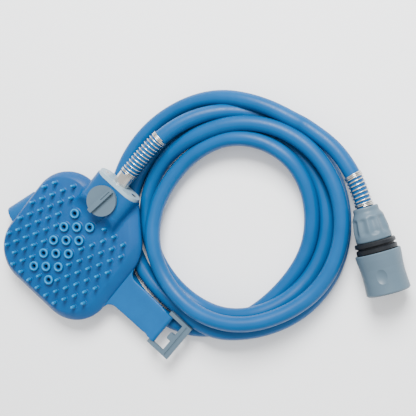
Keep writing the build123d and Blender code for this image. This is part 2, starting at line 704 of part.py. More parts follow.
# ---------------------------------------------------------------- click connector
def hose_nut():
    """Fluted nut that clamps the hose into the connector."""
    nut = spun([
        (NUT_SMALL - NUT_WALL, 0),
        (NUT_SMALL, 0),
        (NUT_SMALL + 0.1, 4.0),
        (NUT_BELL, NUT_SHOULDER),
        (NUT_LARGE - 0.6, NUT_SHOULDER + 6.5),
        (NUT_LARGE, NUT_SHOULDER + 10.5),
        (NUT_LARGE, NUT_LENGTH),
        (NUT_BORE, NUT_LENGTH),
        (NUT_BORE, NUT_SHOULDER),
        (NUT_SMALL - NUT_WALL, NUT_SHOULDER - 2.0),
    ])
    middle = (NUT_SHOULDER + 20.0) / 2
    for step in range(NUT_FLUTES):
        flute = Pos(NUT_LARGE + 0.7, 0, middle) * Rot(0, 4, 0) * Cylinder(2.2, 20.0 - NUT_SHOULDER)
        nut -= Rot(0, 0, 360 / NUT_FLUTES * step) * flute
    return nut


def clamp_ring():
    """Collet that the nut squeezes on to the hose."""
    inner = HOSE_RADIUS + GAP
    outer = NUT_BORE - GAP
    start = NUT_SHOULDER + 0.8
    end = SPIGOT_START - 0.6
    return spun([(inner, start), (outer - 1, start), (outer, start + 1.2), (outer, end), (inner, end)])


def hose_tail_barb():
    """Barbed tail that holds the hose in the connector."""
    barb = disc(BARB_RADIUS - BARB_STEP, SPIGOT_START - 1, 1)
    barb = barbs(barb, 3, 3.4, 2.5)
    return barb - disc(BARB_BORE, SPIGOT_START + 2, 0)


def connector_body():
    """Black core: threaded spigot, two grip rings and the socket shaft."""
    thread = NUT_BORE - GAP
    start = NUT_LENGTH + GAP
    middle = (NUT_LENGTH + SLEEVE_START) / 2
    core = spun([
        (WATERWAY, SPIGOT_START),
        (thread, SPIGOT_START),
        (thread, start),
        (GRIP_RADIUS - 0.8, start),
        (GRIP_RADIUS, start + 0.8),
        (GRIP_RADIUS, middle - 1.0),
        (GRIP_RADIUS - GRIP_GROOVE, middle - 0.4),
        (GRIP_RADIUS - GRIP_GROOVE, middle + 0.4),
        (GRIP_RADIUS, middle + 1.0),
        (GRIP_RADIUS, SLEEVE_START - 0.6),
        (SHAFT_RADIUS, SLEEVE_START),
        (SHAFT_RADIUS, SHAFT_END),
        (SOCKET_RADIUS, SHAFT_END),
        (SOCKET_RADIUS, SOCKET_FLOOR),
        (NOSE_RADIUS, SOCKET_FLOOR),
        (NOSE_RADIUS, SOCKET_FLOOR - NOSE_DEPTH),
        (WATERWAY, SOCKET_FLOOR - NOSE_DEPTH),
    ])
    core -= disc(NOSE_RADIUS + 2 * NOSE_SEAL - GAP, 2 * NOSE_SEAL, socket_seal_z() - NOSE_SEAL)
    wall = SHAFT_RADIUS - SOCKET_RADIUS
    pocket = Box(3 * wall, CLAW_WIDTH + 2 * GAP, CLAW_LENGTH + 2 * GAP)
    for angle in CLAW_ANGLES:
        core -= Rot(0, 0, angle) * Pos(SOCKET_RADIUS + wall, 0, CLAW_Z) * pocket
    return core


def lock_claw(angle):
    """Sliding claw that holds the tap piece in the socket."""
    depth = SHAFT_RADIUS - SOCKET_RADIUS - 2 * FIT
    block = Box(depth, CLAW_WIDTH, CLAW_LENGTH)
    return Rot(0, 0, angle) * Pos(SOCKET_RADIUS + FIT + depth / 2, 0, CLAW_Z) * block


def release_sleeve():
    """Waisted sleeve that is pulled back to let go, with a thumb dimple."""
    start = SLEEVE_START
    end = SLEEVE_END
    lip = SHAFT_RADIUS + 0.4
    slide = SHAFT_RADIUS + 0.9
    lock = SHAFT_RADIUS + 2.5
    sleeve = spun([
        (GRIP_RADIUS + 0.5, start),
        (SLEEVE_RADIUS - 0.5, start),
        (SLEEVE_RADIUS, start + 0.7),
        (SLEEVE_RADIUS - 0.2, start + 5),
        (SLEEVE_RADIUS - 1.0, start + 12),
        (SLEEVE_RADIUS - 1.2, start + 18),
        (SLEEVE_RADIUS - 0.9, start + 25),
        (SLEEVE_RADIUS - 0.5, end - 1.2),
        (SLEEVE_RADIUS - 1.6, end),
        (lip, end),
        (lip, end - 2.5),
        (lock, end - 2.5),
        (lock, end - 7),
        (slide, end - 7),
        (slide, start + SPRING_ROOM),
        (GRIP_RADIUS + 0.5, start + SPRING_ROOM),
    ])
    dimple = Pos(SLEEVE_RADIUS + 9.6, 0, start + 18) * Sphere(12.0)
    return sleeve - dimple


def sleeve_spring():
    """Spring that pushes the sleeve forward."""
    room = SPRING_ROOM - 0.4
    return Pos(0, 0, SLEEVE_START + 0.2) * coil_spring(SHAFT_RADIUS + 2.0, 1.3, 3.2, room)


def socket_seal_z():
    """Middle of the groove in the nose bore."""
    return SOCKET_FLOOR - 3.0


def socket_seal():
    """O-ring in the nose bore."""
    middle = NOSE_RADIUS + NOSE_SEAL - GAP
    return Pos(0, 0, socket_seal_z()) * Torus(middle, NOSE_SEAL)


def tail_spring():
    """Anti-kink spring on the hose at the connector."""
    return along(TAIL_ROUTE[2], TAIL_ROUTE[3]) * anti_kink_spring(TAIL_SPRING)


# ---------------------------------------------------------------- assembly
def on_connector(solid):
    """Move a solid from the connector's own axis to its place on the floor."""
    return Location(CONNECTOR_PLANE) * solid


HEAD = {
    "scrub_pad": scrub_pad,
    "buckle_strap": buckle_strap,
    "tail_strap": tail_strap,
    "nozzle_plate": nozzle_plate,
    "chamber_seal": chamber_seal,
    "main_body": main_body,
    "rear_cover": rear_cover,
    "cover_screws": cover_screws,
    "palm_button": palm_button,
    "plunger": plunger,
    "plunger_seal": plunger_seal,
    "button_spring": button_spring,
    "flow_knob": flow_knob,
    "valve_plug": valve_plug,
    "plug_seal": plug_seal,
    "end_plate": end_plate,
    "end_screws": end_screws,
    "inlet_nipple": inlet_nipple,
    "inlet_seal": inlet_seal,
    "head_ferrule": head_ferrule,
    "buckle": buckle,
}
CONNECTOR = {
    "hose_nut": hose_nut,
    "clamp_ring": clamp_ring,
    "hose_tail_barb": hose_tail_barb,
    "connector_body": connector_body,
    "release_sleeve": release_sleeve,
    "sleeve_spring": sleeve_spring,
    "socket_seal": socket_seal,
}


def build_nodes():
    """Every node, still about the neck's axis."""
    nodes = {name: make() for name, make in HEAD.items()}
    head_names = list(nodes)
    nodes["head_spring"] = head_spring()
    nodes["hose_lead"] = hose_tube(LEAD_ROUTE)
    nodes["hose_coil"] = hose_coil()
    nodes["hose_tail"] = hose_tube(TAIL_ROUTE)
    nodes["tail_spring"] = tail_spring()
    for name, make in CONNECTOR.items():
        nodes[name] = on_connector(make())
    for number, angle in enumerate(CLAW_ANGLES, start=1):
        nodes[f"lock_claw_{number}"] = on_connector(lock_claw(angle))
    return nodes, head_names


def main():
    os.makedirs("parts", exist_ok=True)
    nodes, head_names = build_nodes()
    boxes = [nodes[name].bounding_box() for name in head_names]
    middle_x = (min(box.min.X for box in boxes) + max(box.max.X for box in boxes)) / 2
    middle_y = (min(box.min.Y for box in boxes) + max(box.max.Y for box in boxes)) / 2
    bottom = min(box.min.Z for box in boxes)
    shift = Pos(-middle_x, -middle_y, -bottom)
    for name, shape in nodes.items():
        export_step(shift * shape, f"parts/{name}.step")
    print("neck axis is at", round(-middle_x, 3), round(-middle_y, 3), round(-bottom, 3))
    print("nodes", len(nodes), "nubs", len(nub_places()), "nozzles", len(ring_places()))


main()
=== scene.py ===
"""Looks of the wearable bath sprayer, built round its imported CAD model.

Lengths here are millimetres about the palm button's centre on the floor, with the inlet
towards +Y and the buckle strap towards +X, as in the part's source. metres() moves a point
into the row frame.
"""
import json
from math import atan2, cos, hypot, pi, radians, sin, sqrt

import bmesh
import bpy
from mathutils import Matrix, Vector


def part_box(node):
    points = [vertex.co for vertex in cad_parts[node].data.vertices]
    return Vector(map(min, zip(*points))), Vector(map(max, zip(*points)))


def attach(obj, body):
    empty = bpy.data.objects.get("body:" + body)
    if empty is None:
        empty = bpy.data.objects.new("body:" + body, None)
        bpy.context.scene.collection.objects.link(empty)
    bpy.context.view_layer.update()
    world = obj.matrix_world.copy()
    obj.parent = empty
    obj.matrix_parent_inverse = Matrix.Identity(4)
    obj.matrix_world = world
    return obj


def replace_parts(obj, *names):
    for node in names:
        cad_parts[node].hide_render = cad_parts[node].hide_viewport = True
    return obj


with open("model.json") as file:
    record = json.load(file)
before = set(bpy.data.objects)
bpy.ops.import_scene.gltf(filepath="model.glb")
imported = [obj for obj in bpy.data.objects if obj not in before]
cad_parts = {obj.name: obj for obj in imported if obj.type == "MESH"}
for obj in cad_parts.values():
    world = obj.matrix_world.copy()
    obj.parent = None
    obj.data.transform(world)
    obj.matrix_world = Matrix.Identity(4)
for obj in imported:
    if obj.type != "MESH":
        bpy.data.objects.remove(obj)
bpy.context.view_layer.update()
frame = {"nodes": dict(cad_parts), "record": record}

MM = 0.001
button_low, button_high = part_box("palm_button")
BUTTON_CENTRE = (button_low + button_high) / 2

# ---------------------------------------------------------------- sizes, in millimetres
PAD_HALF = (53.5, 53.0)
PAD_CENTRE = (-2.0, 0.5)
PAD_CORNER = 32.0
RIM_BOTTOM = 15.5
RIM_TOP = 18.5
FACE_HALF = (47.5, 47.0)
FACE_CENTRE = (-4.5, 0.0)
FACE_CORNER = 26.0
FACE_Z = 28.0
DOME_RADIUS = 420.0
CAVITY = 7.6          # how far the pad's underside is inset round the housing
CAVITY_TOP = 21.0

NUB_RADIUS = 1.45
NUB_TIP = 1.15
NUB_HEIGHT = 7.0
NUB_FLARE = 1.3       # moulded fillet at a nub's root
NUB_COLUMN = 4.85
NUB_ROW = 8.5
NUB_LEAN = 0.25       # how far a soft nub's tip leans
RING_OUTER = 4.0
RING_HOLE = 2.32
RING_HEIGHT = 3.4
RING_COLUMN = 8.6
RING_ROW = 14.4
RING_CENTRE = (-5.0, -2.1)
NECK_HALF = 20.5
NECK_START = 38.0
NECK_TOP = 35.0
NECK_ROUND = 9.0
NECK_SLOPE = 1.1
NECK_SKIN = 0.2       # silicone over the neck's top, as far as NECK_COVERED
NECK_FRONT_SKIN = 1.0
NECK_COVERED = 46.5
NECK_DIVE = 1.6       # how far it then sinks into the neck
NECK_DIVE_RUN = 3.0
NECK_FALL = 2.0       # slope of the skin beside the neck
NECK_FRONT_SOFT = 2.0
NECK_BLEND = 5.0
WEB_TURN = pi / 4
PAD_AROUND = 300      # points round the pad
SHOULDER_STEPS = 14
SHOULDER_POWER = 1.45
FACE_LOOPS = 52
ROOT_SINK = 0.12      # how far a nub or ring starts below the skin
RING_LIP = 0.45       # wall of a ring that covers the cut in the face

STRAP_THICKNESS = 2.4
STRAP_Z = 17.2
STRAP_Y = 1.2
STRAP_ROOT = 30.0
STRAP_END = 27.0
STRAP_LOOP_WIDTH = 26.0
STRAP_REACH = 99.5
STRAP_START = 49.5
STRAP_FLARE = 8.0     # moulded fillet where the strap leaves the pad
STRAP_SAG = 0.55
RIM_EDGE = 51.5
LOOP_RADIUS = 2.9
BAR_RADIUS = 1.28
TAIL_WIDTH = 27.0
TAIL_TIP = (-64.0, -2.4)
TAIL_TURN = 160.8
TAIL_RETURN = 21.0
TAIL_ROOT = 14.0
TAIL_SLOTS = (6.0, 13.0)
TAIL_SLOT = (3.0, 14.0)

HOSE_DIAMETER = 12.4
HOSE_LENGTH = 2.297   # metres, end to end, all of it in the photograph
SPRING_WIRE = 1.05
SPRING_GAP = 0.06
SPRING_PITCH = 3.1
SPRING_CLOSE_TURNS = 1.6
SPRING_STEPS = 20     # points in each turn
HEAD_SPRING = (9.5, 51.0)      # from and to, along the hose from the end plate
TAIL_SPRING = (0.2, 27.0)      # from and to, back along the hose from the nut
NUT_MOUTH = (160.7, 183.0, 17.7)
CONNECTOR_AXIS = (0.829, -0.559)
NUT_LENGTH = 26.0
NUT_SMALL = 9.8
NUT_LARGE = 13.8
NUT_BELL = 12.2
NUT_SHOULDER = 8.6
NUT_BORE = 10.6
NUT_MOUTH_RADIUS = 8.4
NUT_LIP_DEPTH = 6.6
NUT_FLUTES = 10
NUT_FLUTE_DEPTH = 1.5

# The two stretches of hose that are not coiled, chosen to lie as they fall.
LEAD_ROUTE = [
    (0.0, 70.0, 24.0),
    (0.0, 98.0, 24.0),
    (2.5, 126.0, 23.6),
    (12.7, 152.1, 19.3),
    (31.4, 173.2, 12.5),
    (55.9, 186.0, 7.5),
]
TAIL_ROUTE = [
    (84.2, 200.6, 15.0),
    (112.2, 202.9, 16.9),
    (135.5, 197.1, 17.7),
    (154.1, 187.5, 17.7),
    (171.1, 176.0, 17.7),
]
COIL_CENTRE = (89.5, 104.0)
COIL_STEP = 12.0      # degrees between the spline's points round the coil
# Angle, radius and height of the hose round the coil, from the lead to the tail, where it
# changes layer or leaves its neighbours.
COIL = [
    (87, 88.5, 6.2), (45, 87.5, 6.2), (5, 87.6, 6.2), (-15, 87.5, 8.5), (-30, 86.5, 14.6),
    (-44, 86.2, 18.0), (-56, 86.8, 18.6), (-65, 86.2, 16.4), (-73, 84.6, 12.4),
    (-81, 83.6, 9.2), (-91, 84.0, 6.9), (-104, 85.6, 6.2), (-122, 88.0, 6.2),
    (-143, 89.5, 6.2), (-168, 89.5, 6.2), (-197, 84.0, 6.2), (-230, 76.0, 6.2),
    (-272, 75.5, 6.2), (-314, 75.2, 6.2), (-350, 74.0, 7.5), (-378, 73.5, 15.0),
    (-398, 73.2, 18.2), (-418, 73.5, 13.0), (-438, 72.8, 6.2), (-459, 71.6, 6.2),
    (-485, 72.5, 6.2), (-509, 75.0, 6.2), (-534, 76.6, 8.0), (-550, 76.2, 12.5),
    (-564, 75.6, 16.4), (-580, 76.8, 18.4), (-592, 79.3, 18.8), (-634, 86.0, 18.6),
    (-674, 88.0, 18.6), (-713, 85.5, 20.5), (-740, 80.8, 27.0), (-765, 78.0, 30.2),
    (-790, 74.8, 26.0), (-817, 71.2, 19.2), (-845, 67.2, 18.6), (-866, 64.5, 16.0),
    (-896, 62.0, 12.4), (-925, 64.0, 13.5), (-953, 68.0, 17.6), (-992, 69.3, 17.5),
    (-1015, 66.5, 14.0), (-1033, 63.6, 9.5), (-1055, 62.2, 6.2), (-1080, 62.5, 6.2),
    (-1096, 65.2, 6.2), (-1113, 71.3, 6.2), (-1130, 81.0, 6.2), (-1151, 93.5, 6.2),
    (-1180, 101.0, 6.2), (-1215, 102.5, 6.2), (-1245, 104.0, 6.2), (-1262, 104.0, 6.6),
    (-1275, 103.6, 6.5), (-1287, 102.7, 7.6), (-1300, 101.6, 10.8), (-1312, 99.2, 14.8),
    (-1325, 96.3, 17.6), (-1343, 95.2, 17.2),
]

# ---------------------------------------------------------------- camera and studio
VIEW_TARGET = (66.6, 100.9, 15.0)
VIEW_DISTANCE = 750.0
VIEW_BACK = (0.177, 0.211, 0.961)      # from the target towards the camera
VIEW_UP = (-0.652, 0.757, -0.046)
VIEW_ANGLE = 25.0


def metres(x, y, z):
    """A point of this file in the row frame."""
    return Vector((x * MM + BUTTON_CENTRE.x, y * MM + BUTTON_CENTRE.y, z * MM))


def scattered(*keys):
    """A repeatable number from -1 to 1 for a place."""
    mixed = sin(sum(key * weight for key, weight in zip(keys, (12.9898, 78.233, 37.719)))) * 43758.5453
    return 2 * (mixed % 1.0) - 1


def eased(value, start, end):
    """0 before start, 1 after end, smooth between."""
    share = min(1.0, max(0.0, (value - start) / (end - start)))
    return share * share * (3 - 2 * share)


# ---------------------------------------------------------------- materials
FLOW_SCALE = 38.0      # waves per metre of a moulding's flow marks
SCUFF_SCALE = 420.0
STREAK_SCALE = 600.0
TARNISH_SCALE = 90.0
NOISE_SPAN = (0.3, 0.7)     # where a noise mostly lies


def new_material(name, colour, roughness, specular=0.35):
    """Principled material with its nodes in hand: material, shader, nodes, links, coordinate."""
    material = bpy.data.materials.new(name)
    material.use_nodes = True
    nodes, links = material.node_tree.nodes, material.node_tree.links
    shader = nodes["Principled BSDF"]
    shader.inputs["Base Color"].default_value = (*colour, 1)
    shader.inputs["Roughness"].default_value = roughness
    shader.inputs["Specular IOR Level"].default_value = specular
    place = nodes.new("ShaderNodeTexCoord").outputs["Object"]
    return material, shader, nodes, links, place


def noise(nodes, links, place, scale, detail=4.0, stretch=None):
    """Noise over the object's own space, in waves per metre, stretched along one axis."""
    texture = nodes.new("ShaderNodeTexNoise")
    texture.inputs["Scale"].default_value = scale
    texture.inputs["Detail"].default_value = detail
    if stretch:
        mapping = nodes.new("ShaderNodeMapping")
        mapping.inputs["Scale"].default_value = stretch
        links.new(place, mapping.inputs["Vector"])
        place = mapping.outputs["Vector"]
    links.new(place, texture.inputs["Vector"])
    return texture.outputs["Fac"]


def vary_colour(nodes, links, shader, factor, low, high):
    """Base colour running from low to high with a noise."""
    ramp = nodes.new("ShaderNodeValToRGB")
    ramp.color_ramp.elements[0].position, ramp.color_ramp.elements[1].position = NOISE_SPAN
    ramp.color_ramp.elements[0].color = (*low, 1)
    ramp.color_ramp.elements[1].color = (*high, 1)
    links.new(factor, ramp.inputs["Fac"])
    links.new(ramp.outputs["Color"], shader.inputs["Base Color"])


def vary_roughness(nodes, links, shader, factor, low, high):
    """Roughness running from low to high with a noise."""
    spread = nodes.new("ShaderNodeMapRange")
    spread.inputs["From Min"].default_value, spread.inputs["From Max"].default_value = NOISE_SPAN
    spread.inputs["To Min"].default_value = low
    spread.inputs["To Max"].default_value = high
    links.new(factor, spread.inputs["Value"])
    links.new(spread.outputs["Result"], shader.inputs["Roughness"])


def bump(nodes, links, shader, layers):
    """Bump from (height, strength, depth in metres) layers, the first one innermost."""
    normal = None
    for height, strength, depth in layers:
        node = nodes.new("ShaderNodeBump")
        node.inputs["Strength"].default_value = strength
        node.inputs["Distance"].default_value = depth
        links.new(height, node.inputs["Height"])
        if normal:
            links.new(normal, node.inputs["Normal"])
        normal = node.outputs["Normal"]
    links.new(normal, shader.inputs["Normal"])


def moulded(name, colour, roughness, grain=0.08, grain_scale=2600.0, shift=0.08, soft=0.0, specular=0.35):
    """Moulded plastic or rubber: fine grain, faint flow marks, scuffs and uneven gloss."""
    material, shader, nodes, links, place = new_material(name, colour, roughness, specular)
    flow = noise(nodes, links, place, FLOW_SCALE, 3.0)
    scuff = noise(nodes, links, place, SCUFF_SCALE, 6.0)
    fine = noise(nodes, links, place, grain_scale, 2.0)
    dark = [c * (1 - shift) for c in colour]
    light = [min(1.0, c * (1 + shift)) for c in colour]
    vary_colour(nodes, links, shader, flow, dark, light)
    vary_roughness(nodes, links, shader, scuff, roughness * 0.85, min(1.0, roughness * 1.2))
    bump(nodes, links, shader, [(flow, 0.12, 0.0006), (fine, grain, 0.0002)])
    if soft:
        shader.inputs["Subsurface Weight"].default_value = soft
        shader.inputs["Subsurface Radius"].default_value = (0.2, 0.6, 1.0)
        shader.inputs["Subsurface Scale"].default_value = 0.002
    return material


def metal(name, colour, roughness, stretch):
    """Drawn metal: streaks along one axis, dulled in patches."""
    material, shader, nodes, links, place = new_material(name, colour, roughness)
    shader.inputs["Metallic"].default_value = 1.0
    streaks = noise(nodes, links, place, STREAK_SCALE, 5.0, stretch)
    tarnish = noise(nodes, links, place, TARNISH_SCALE)
    vary_colour(nodes, links, shader, tarnish, [c * 0.78 for c in colour], colour)
    vary_roughness(nodes, links, shader, streaks, roughness * 0.7, roughness * 1.5)
    bump(nodes, links, shader, [(streaks, 0.15, 0.0001)])
    return material


FINISHES = {
    "blue_silicone": moulded("silicone_blue", (0.0, 0.074, 0.225), 0.44, grain=0.10,
                             grain_scale=1800.0, shift=0.10, soft=0.05, specular=0.25),
    "blue_plastic": moulded("plastic_blue", (0.0, 0.062, 0.195), 0.36, specular=0.28),
    "hose_vinyl": moulded("vinyl_blue", (0.0, 0.069, 0.21), 0.40, grain=0.03, specular=0.2),
    "grey_plastic": moulded("plastic_grey", (0.070, 0.110, 0.145), 0.40, grain=0.12, shift=0.06,
                            specular=0.28),
    "pale_plastic": moulded("plastic_pale", (0.24, 0.34, 0.40), 0.34, shift=0.05),
    "black_plastic": moulded("plastic_black", (0.008, 0.010, 0.013), 0.42, grain=0.14,
                             grain_scale=2400.0, shift=0.25, specular=0.2),
    "white_plastic": moulded("plastic_white", (0.78, 0.80, 0.82), 0.4, shift=0.04),
    "steel": metal("steel_plated", (0.66, 0.63, 0.58), 0.24, (1.0, 0.08, 1.0)),
    "brass": metal("brass_turned", (0.70, 0.52, 0.26), 0.26, (0.1, 0.1, 1.0)),
    "seal_rubber": moulded("rubber_black", (0.02, 0.02, 0.022), 0.6, grain=0.2,
                           grain_scale=1500.0, shift=0.2),
}


PAINTED_TIP_LIGHT = (0.0, 0.165, 0.38)      # painted light: lighter blue painted on the upper parts of the nubs and rings


def pad_silicone_with_painted_light():
    """The pad's silicone, with painted light: the nubs' and rings' upper parts mix towards a lighter blue
    by height.
    """
    material = moulded("silicone_pad_painted_light", (0.0, 0.057, 0.190), 0.44, grain=0.10, grain_scale=1800.0,
                       shift=0.10, soft=0.06, specular=0.25)
    nodes, links = material.node_tree.nodes, material.node_tree.links
    shader = nodes["Principled BSDF"]
    flow_colour = shader.inputs["Base Color"].links[0].from_socket
    # painted light: a height mask mixes the nubs' and rings' upper parts towards a lighter blue
    painted_light_mask = nodes.new("ShaderNodeAttribute")
    painted_light_mask.attribute_name = "painted_light_mask"
    mix = nodes.new("ShaderNodeMix")
    mix.data_type = "RGBA"
    mix.inputs["B"].default_value = (*PAINTED_TIP_LIGHT, 1)
    links.new(painted_light_mask.outputs["Fac"], mix.inputs["Factor"])
    links.new(flow_colour, mix.inputs["A"])
    links.new(mix.outputs["Result"], shader.inputs["Base Color"])
    return material


# pad silicone with painted light on its nubs and rings
PAD_FINISH_WITH_PAINTED_LIGHT = pad_silicone_with_painted_light()


def finish_cad_nodes():
    """Gives every CAD node the finish of its slot in the record."""
    for node in frame["record"]["subparts"]:
        piece = frame["nodes"][node["node"]]
        piece.data.materials.clear()
        piece.data.materials.append(FINISHES[node["material_slot"]])


# ---------------------------------------------------------------- mesh helpers
def link(name, data):
    """A new object in the scene."""
    piece = bpy.data.objects.new(name, data)
    bpy.context.collection.objects.link(piece)
    return piece


def mesh_piece(name, mesh, material, body):
    """Object from a bmesh, smooth, with its finish, riding on a body."""
    bmesh.ops.recalc_face_normals(mesh, faces=mesh.faces)
    data = bpy.data.meshes.new(name)
    mesh.to_mesh(data)
    mesh.free()
    data.materials.append(material)
    for polygon in data.polygons:
        polygon.use_smooth = True
    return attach(link(name, data), body)


def bridge(mesh, loops):
    """Faces between closed loops of equal length, one after the other."""
    faces = []
    for lower, upper in zip(loops, loops[1:]):
        count = len(lower)
        for i in range(count):
            j = (i + 1) % count
            faces.append(mesh.faces.new((lower[i], lower[j], upper[j], upper[i])))
    return faces


def loop_of(mesh, points):
    """Vertices at these millimetre points."""
    return [mesh.verts.new(metres(*point)) for point in points]


def fan(mesh, loop, tip):
    """Closes a loop with triangles to one point."""
    top = mesh.verts.new(metres(*tip))
    for i, vertex in enumerate(loop):
        mesh.faces.new((vertex, loop[(i + 1) % len(loop)], top))
    return top


def spin(mesh, centre, profile, count, lean=(0.0, 0.0), closed=True, painted_light_from=None):
    """Surface of revolution about an upright axis from (radius, height, lean share) points.

    Vertices above the given height are marked for painted light, which lightens the upper parts of nubs
    and rings."""
    painted_light_mask = mesh.verts.layers.float["painted_light_mask"]
    loops = []
    for radius, height, share in profile:
        x, y = centre[0] + lean[0] * share, centre[1] + lean[1] * share
        ring = [(x + radius * cos(2 * pi * i / count), y + radius * sin(2 * pi * i / count), height)
                for i in range(count)]
        loops.append(loop_of(mesh, ring))
    bridge(mesh, loops)
    if closed:
        radius, height, share = profile[-1]
        top = fan(mesh, loops[-1], (centre[0] + lean[0], centre[1] + lean[1], height + radius * 0.3))
        loops.append([top])
    for ring in loops:
        for vertex in ring:
            # painted light mask: rises from 0 to 1 over 2.5 mm above the given height
            vertex[painted_light_mask] = eased(vertex.co.z / MM, painted_light_from, painted_light_from + 2.5)


# ---------------------------------------------------------------- scrubbing pad
def dome(x, y):
    """Height of the scrubbing face."""
    away = (x - FACE_CENTRE[0]) ** 2 + (y - FACE_CENTRE[1]) ** 2
    return FACE_Z - DOME_RADIUS + sqrt(DOME_RADIUS ** 2 - away)


def neck_skin(x, y):
    """Height just over the neck's sloped front and round shoulders, falling off beside it."""
    over = abs(x) - (NECK_HALF - NECK_ROUND)
    crown = NECK_TOP + NECK_SKIN
    if over > 0:
        crown -= NECK_ROUND - sqrt(max(0.0, NECK_ROUND ** 2 - over ** 2))
    if over > NECK_ROUND:
        crown -= NECK_FALL * (over - NECK_ROUND)
    crown -= NECK_DIVE * eased(y, NECK_COVERED, NECK_COVERED + NECK_DIVE_RUN)
    front = FACE_Z + NECK_FRONT_SKIN + (y - NECK_START) / NECK_SLOPE
    return blended(crown, front, -NECK_FRONT_SOFT)


def blended(a, b, soft):
    """Larger of two heights, or the smaller for a negative softness, with a smooth change."""
    mix = max(0.0, 1 - abs(a - b) / abs(soft))
    if soft > 0:
        return max(a, b) + mix * mix * soft / 4
    return min(a, b) + mix * mix * soft / 4


def skin(x, y):
    """Height of the pad's upper side: the dome, drawn up over the neck's front and flanks."""
    return blended(dome(x, y), neck_skin(x, y), NECK_BLEND)


def reach(angle, half_x, half_y, corner):
    """Distance from a rounded rectangle's centre to its edge."""
    across, along = abs(cos(angle)), abs(sin(angle))
    if half_x * along <= (half_y - corner) * across:
        return half_x / across
    if half_y * across <= (half_x - corner) * along:
        return half_y / along
    px, py = half_x - corner, half_y - corner
    towards = px * across + py * along
    return towards + sqrt(corner ** 2 - (px ** 2 + py ** 2 - towards ** 2))


def web_reach(angle, half_x, half_y, corner):
    """Distance to the straight web from the pad's corner beside the neck to the end plate."""
    web = (half_x + half_y - 2 * corner) * cos(WEB_TURN) + corner
    return web / cos(angle - WEB_TURN)


def pad_point(angle, share):
    """Point of the pad's outline, from the rim (0) to the face's edge (1)."""
    rim = reach(angle, *PAD_HALF, PAD_CORNER)
    face = reach(angle, *FACE_HALF, FACE_CORNER)
    if WEB_TURN < angle < pi / 2:
        webbed = web_reach(angle, *PAD_HALF, PAD_CORNER)
        if PAD_CENTRE[0] + webbed * cos(angle) > NECK_HALF - 1.2:
            rim, face = webbed, web_reach(angle, *FACE_HALF, FACE_CORNER)
    x0, y0 = PAD_CENTRE[0] + rim * cos(angle), PAD_CENTRE[1] + rim * sin(angle)
    x1, y1 = FACE_CENTRE[0] + face * cos(angle), FACE_CENTRE[1] + face * sin(angle)
    return x0 + (x1 - x0) * share, y0 + (y1 - y0) * share


def ring_places():
    """Centres of the fourteen nozzle rings: columns of five, four and five."""
    places = []
    for column in (-1, 0, 1):
        count = 4 if column == 0 else 5
        for row in range(count):
            offset = row - (count - 1) / 2
            places.append((RING_CENTRE[0] + column * RING_COLUMN, RING_CENTRE[1] + offset * RING_ROW))
    return places


def takes_nub(x, y):
    """True on the face, clear of the nozzle field and the neck."""
    corner = FACE_CORNER - NUB_RADIUS
    dx = max(abs(x - FACE_CENTRE[0]) - (FACE_HALF[0] - FACE_CORNER), 0.0)
    dy = max(abs(y - FACE_CENTRE[1]) - (FACE_HALF[1] - FACE_CORNER), 0.0)
    in_field = abs(x - RING_CENTRE[0]) < 1.5 * RING_COLUMN and y > RING_CENTRE[1] - 2 * RING_ROW - 2.0
    room = RING_OUTER + 1.35 + 1.0
    near_ring = any(hypot(x - a, y - b) < room for a, b in ring_places())
    near_neck = abs(x) < NECK_HALF + 2 * NUB_RADIUS and y > NECK_START - 2 * NUB_RADIUS
    return hypot(dx, dy) <= corner and not (in_field or near_ring or near_neck)


def nub_places():
    """Centres of the nubs, on the part's staggered grid."""
    columns = range(-int(PAD_HALF[0] / NUB_COLUMN), int(PAD_HALF[0] / NUB_COLUMN) + 1)
    rows = range(-int(PAD_HALF[1] / NUB_ROW), int(PAD_HALF[1] / NUB_ROW) + 1)
    grid = [(RING_CENTRE[0] + c * NUB_COLUMN, r * NUB_ROW) for c in columns for r in rows
            if (c + r) % 2 == 0]
    return [(x, y) for x, y in grid if takes_nub(x, y)]


def nub_profile(base):
    """Flared root, tapered stem and round tip of a nub."""
    profile = []
    for step in range(5):
        turn = pi / 2 * step / 4
        radius = NUB_RADIUS + NUB_FLARE * (1 - sin(turn))
        profile.append((radius, base - ROOT_SINK + NUB_FLARE * (1 - cos(turn)), 0.0))
    stem_top = base + NUB_HEIGHT - NUB_TIP
    for step in range(1, 4):
        share = step / 4
        height = base + NUB_FLARE + (stem_top - base - NUB_FLARE) * share
        profile.append((NUB_RADIUS + (NUB_TIP - NUB_RADIUS) * share, height, share * share))
    for step in range(5):
        turn = pi / 2 * step / 5
        profile.append((NUB_TIP * cos(turn), stem_top + NUB_TIP * sin(turn), 1.0))
    return profile


def ring_profile(base):
    """Flared root, round top and bore of a nozzle ring."""
    middle, half = (RING_OUTER + RING_HOLE) / 2, (RING_OUTER - RING_HOLE) / 2
    profile = []
    for step in range(4):
        turn = pi / 2 * step / 3
        profile.append((RING_OUTER + (1 - sin(turn)), base - ROOT_SINK + (1 - cos(turn)), 0.0))
    top = base + RING_HEIGHT - half
    for step in range(9):
        turn = pi * step / 8
        profile.append((middle + half * cos(turn), top + half * sin(turn), 0.0))
    profile.append((RING_HOLE, base - 2.0, 0.0))
    profile.append((RING_HOLE, CAVITY_TOP + 1.0, 0.0))
    return profile


